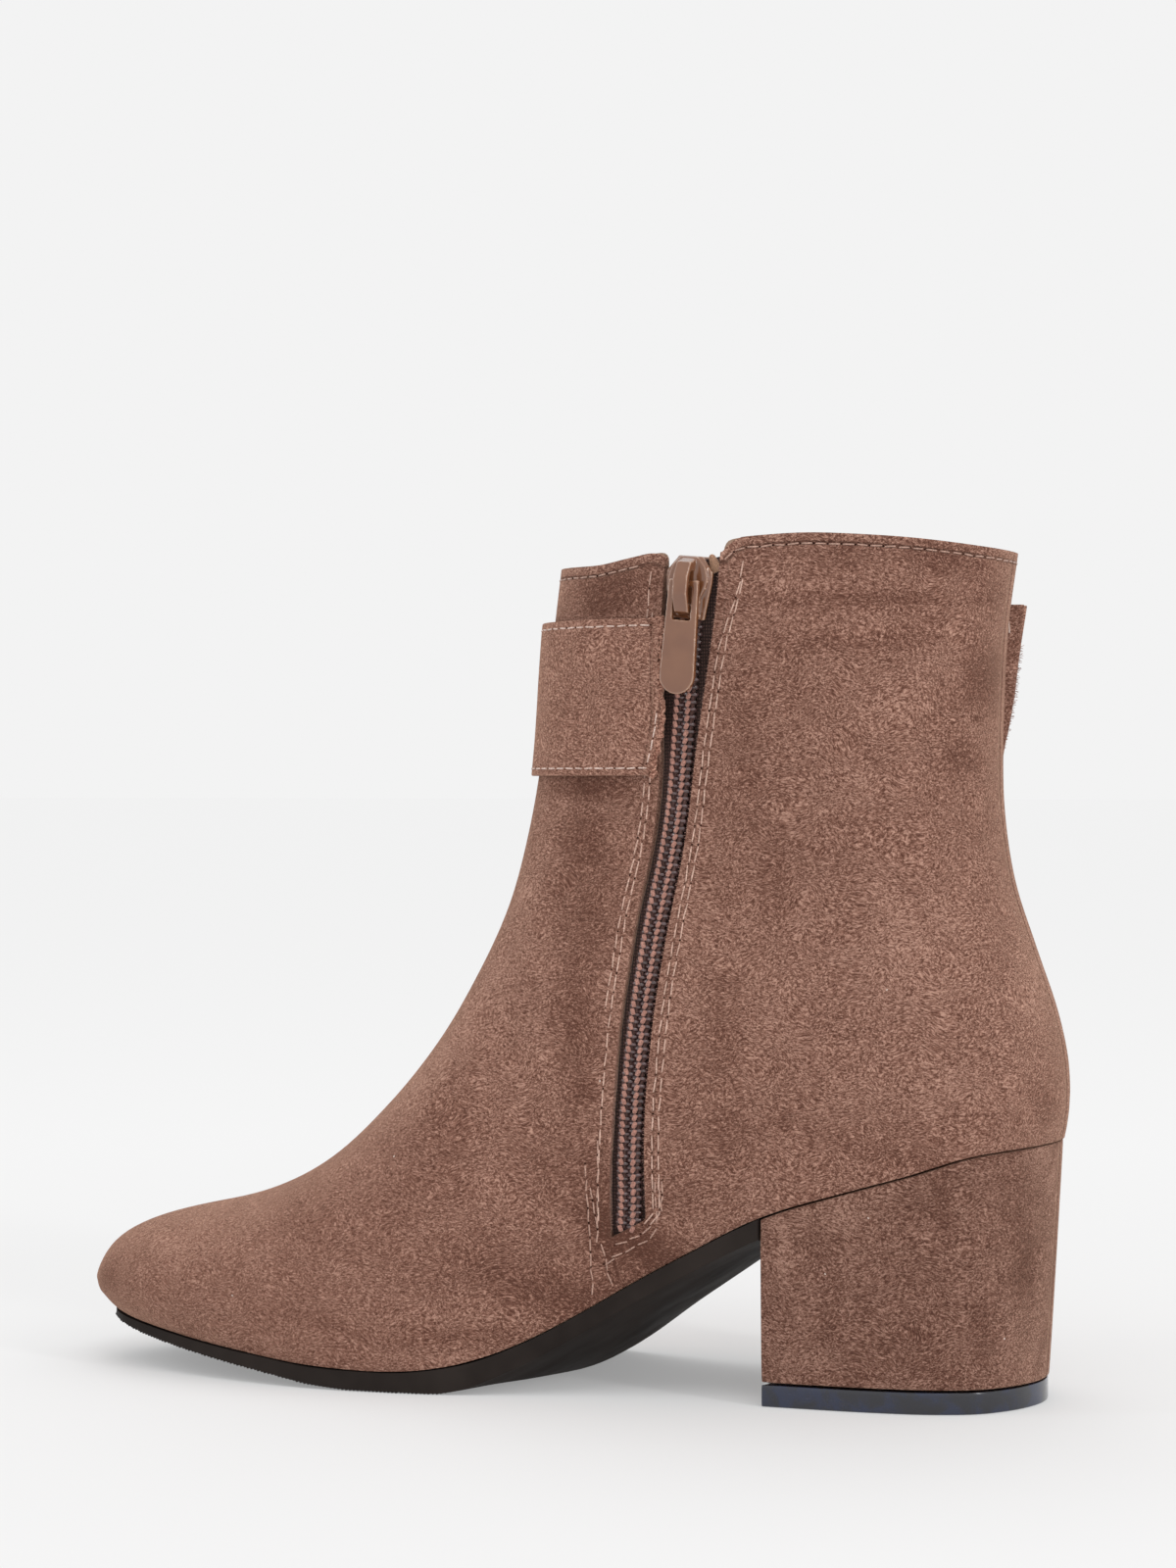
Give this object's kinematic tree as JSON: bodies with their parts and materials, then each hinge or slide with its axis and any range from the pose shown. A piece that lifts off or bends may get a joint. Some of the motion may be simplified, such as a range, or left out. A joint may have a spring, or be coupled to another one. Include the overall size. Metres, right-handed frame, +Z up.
{
  "type": "suede ankle boot",
  "caption": "Right ankle boot in suede with a covered block heel, a thin rubber outsole, a coil zip up the inner side with a swinging pull, and a wide strap round the shaft.",
  "frame": {"origin": "on the floor below the middle of the boot's bounding box", "axes": "+Y towards the toe, +Z up, +X towards the outer side of the foot"},
  "size_m": [0.0802, 0.2372, 0.1958],
  "materials": {
    "suede": "matte napped suede, taupe rose",
    "outsole_rubber": "satin, near black",
    "insole_cloth": "matte, beige",
    "tip_plastic": "glossy, blue black",
    "tape_cloth": "matte woven tape, dark brown",
    "coil_nylon": "satin nylon coil, brown",
    "enamel": "glossy tan enamel"
  },
  "bodies": {
    "boot": {"upper": "suede", "outsole": "outsole_rubber", "insole": "insole_cloth", "heel": "suede", "heel_tip": "tip_plastic", "strap": "suede", "zip_tape_front": "tape_cloth", "zip_tape_back": "tape_cloth", "zip_coil": "coil_nylon", "zip_slider": "enamel"},
    "pull": {"zip_pull": "enamel"}
  },
  "joints": [
    {"name": "pull_swing", "type": "hinge", "parent": "boot", "child": "pull", "pos_m": [-0.0332, -0.03755, 0.18476], "axis": [0.1209, 0.9881, 0.0954], "range_deg": [0, 170]}
  ]
}
